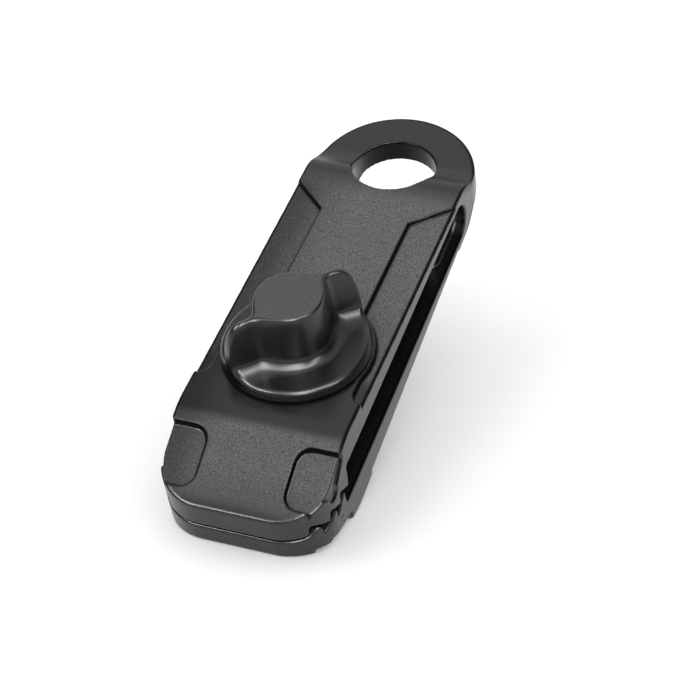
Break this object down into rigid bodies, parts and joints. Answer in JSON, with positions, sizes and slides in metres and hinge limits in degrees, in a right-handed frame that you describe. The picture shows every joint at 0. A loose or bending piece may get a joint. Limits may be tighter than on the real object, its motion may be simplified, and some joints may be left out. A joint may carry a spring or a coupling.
{
  "type": "tarp clip",
  "caption": "Black moulded tarp clip with a round eye and toothed jaws, closed on the sheet's edge by a winged thumb knob on a steel screw.",
  "frame": {"origin": "centre of the eye hole, half way through the eye plate", "axes": "+Z along the eye hole towards the knob, +Y towards the eye's end, the front lip at -Y, +X across the jaws"},
  "size_m": [0.0342, 0.1099, 0.0407],
  "materials": {
    "grained_plastic": "fine spark grain",
    "satin_plastic": "smooth satin",
    "zinc_steel": "bright zinc plate"
  },
  "bodies": {
    "body": {"clip_body": "grained_plastic", "hex_nut": "zinc_steel"},
    "jaw": {"upper_jaw": "grained_plastic"},
    "slider": {"washer": "zinc_steel"},
    "knob": {"thumb_knob": "satin_plastic", "screw_stud": "zinc_steel"}
  },
  "joints": [
    {"name": "screw_travel", "type": "slide", "parent": "body", "child": "slider", "axis": [0, 0.0642, 0.9979], "range_m": [0, 0.008]},
    {"name": "knob_spin", "type": "hinge", "parent": "slider", "child": "knob", "pos_m": [0, -0.0563, 0.00941], "axis": [0, 0.0642, 0.9979], "range_deg": [0, 2880]},
    {"name": "jaw_flex", "type": "hinge", "parent": "body", "child": "jaw", "pos_m": [0, -0.0186, 0.0053], "axis": [-1, 0, 0], "range_deg": [0, 8.5]}
  ],
  "couplings": [
    {"joint": "screw_travel", "follows": "knob_spin", "m_per_rad": 0.00015915},
    {"joint": "jaw_flex", "follows": "knob_spin", "ratio": 0.0029514}
  ]
}
